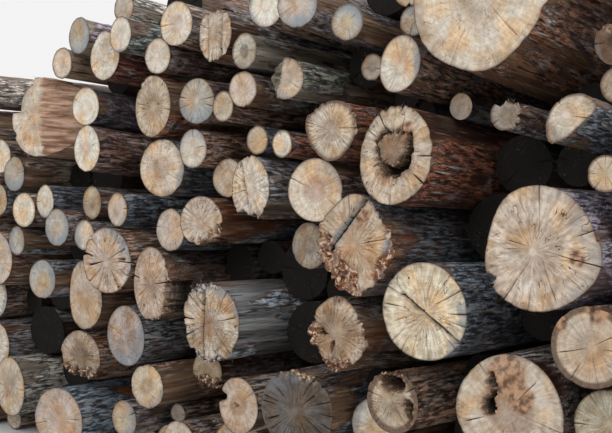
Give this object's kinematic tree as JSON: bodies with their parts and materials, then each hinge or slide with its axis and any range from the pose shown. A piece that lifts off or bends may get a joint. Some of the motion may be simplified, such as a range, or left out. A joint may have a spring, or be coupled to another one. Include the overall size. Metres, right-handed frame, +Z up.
{
  "type": "stack of logs",
  "caption": "Stack of round logs cut to one length, with sawn, split, torn and hollow ends at the front.",
  "frame": {"origin": "centre of the stack's footprint, on the ground", "axes": "+X across the row of log ends to the right as seen from the front, +Y along the logs away from the front ends, +Z up"},
  "size_m": [5.3974, 3.4756, 2.5218],
  "materials": {
    "log_wood": "rough"
  },
  "bodies": {
    "root": {"blue_grey_logs": "log_wood", "blue_rimmed_log": "log_wood", "broken_end_log": "log_wood", "brown_rimmed_log": "log_wood", "centre_hidden_logs": "log_wood", "dark_barked_logs": "log_wood", "deep_checked_log": "log_wood", "floor_inner_logs": "log_wood", "floor_left_logs": "log_wood", "floor_middle_logs": "log_wood", "floor_right_logs": "log_wood", "great_butt_log": "log_wood", "grey_weathered_log": "log_wood", "heartwood_logs": "log_wood", "hollow_heart_log": "log_wood", "hollow_rim_log": "log_wood", "left_edge_logs": "log_wood", "left_foot_logs": "log_wood", "left_slope_logs": "log_wood", "left_small_logs": "log_wood", "left_upper_logs": "log_wood", "little_logs": "log_wood", "notched_log": "log_wood", "ochre_logs": "log_wood", "pale_round_log": "log_wood", "pear_log": "log_wood", "pinkish_logs": "log_wood", "ragged_bottom_log": "log_wood", "ragged_plate_log": "log_wood", "recessed_logs": "log_wood", "right_edge_logs": "log_wood", "right_foot_logs": "log_wood", "right_slope_logs": "log_wood", "right_top_logs": "log_wood", "ring_rot_log": "log_wood", "ring_shake_log": "log_wood", "rot_flank_log": "log_wood", "rotten_pocket_log": "log_wood", "scalloped_log": "log_wood", "second_middle_logs": "log_wood", "shield_log": "log_wood", "slabbed_log": "log_wood", "splintered_log": "log_wood", "split_half_log": "log_wood", "stained_logs": "log_wood", "star_checked_log": "log_wood", "stepped_log": "log_wood", "strip_barked_log": "log_wood", "top_left_logs": "log_wood", "top_middle_logs": "log_wood", "torn_butt_log": "log_wood", "torn_side_log": "log_wood", "two_lobed_log": "log_wood", "under_hollow_logs": "log_wood", "upper_left_logs": "log_wood", "upper_middle_logs": "log_wood", "upper_right_logs": "log_wood", "waisted_log": "log_wood", "widest_butt_log": "log_wood"}
  },
  "joints": []
}
